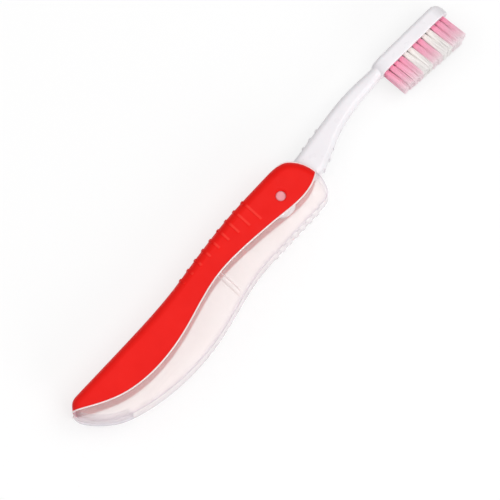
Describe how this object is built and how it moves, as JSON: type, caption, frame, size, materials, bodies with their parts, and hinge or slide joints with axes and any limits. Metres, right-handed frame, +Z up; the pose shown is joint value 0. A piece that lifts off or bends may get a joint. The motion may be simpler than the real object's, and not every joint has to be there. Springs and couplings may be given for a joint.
{
  "type": "manual toothbrush",
  "caption": "Folding travel toothbrush: a tufted head on a slim neck turns on a cross pin and folds into the slot of a clear case with a soft ribbed spine grip.",
  "frame": {"origin": "on the table under the middle of the open brush's bounding box, the brush lying on its rear cheek", "axes": "+X from the tail of the case to the toe of the head, +Y from the bristles to the spine, +Z up from the table and along the hinge pin"},
  "size_m": [0.1804, 0.0257, 0.0165],
  "materials": {
    "clear_case": "frosted, translucent",
    "red_grip": "satin",
    "pin": "satin",
    "white_arm": "gloss",
    "pink_bristle": "filament",
    "white_bristle": "filament",
    "anchor": "bright"
  },
  "bodies": {
    "handle": {"front_case_half": "clear_case", "rear_case_half": "clear_case", "spine_grip": "red_grip", "hinge_pin": "pin"},
    "arm": {"brush_arm": "white_arm", "tuft_row_01_pink": "pink_bristle", "tuft_row_02_pink": "pink_bristle", "tuft_row_03_pink": "pink_bristle", "tuft_row_04_white": "white_bristle", "tuft_row_05_white": "white_bristle", "tuft_row_06_pink": "pink_bristle", "tuft_row_07_pink": "pink_bristle", "tuft_row_08_white": "white_bristle", "tuft_row_09_white": "white_bristle", "tuft_row_10_pink": "pink_bristle", "tuft_row_11_pink": "pink_bristle", "tuft_row_12_pink": "pink_bristle", "tuft_row_13_pink": "pink_bristle", "anchor_row_01": "anchor", "anchor_row_02": "anchor", "anchor_row_03": "anchor", "anchor_row_04": "anchor", "anchor_row_05": "anchor", "anchor_row_06": "anchor", "anchor_row_07": "anchor", "anchor_row_08": "anchor", "anchor_row_09": "anchor", "anchor_row_10": "anchor", "anchor_row_11": "anchor", "anchor_row_12": "anchor", "anchor_row_13": "anchor"}
  },
  "joints": [
    {"name": "head_fold", "type": "hinge", "parent": "handle", "child": "arm", "pos_m": [0.00783, 0.00448, 0.00825], "axis": [0, 0, -1], "range_deg": [0, 175]}
  ]
}
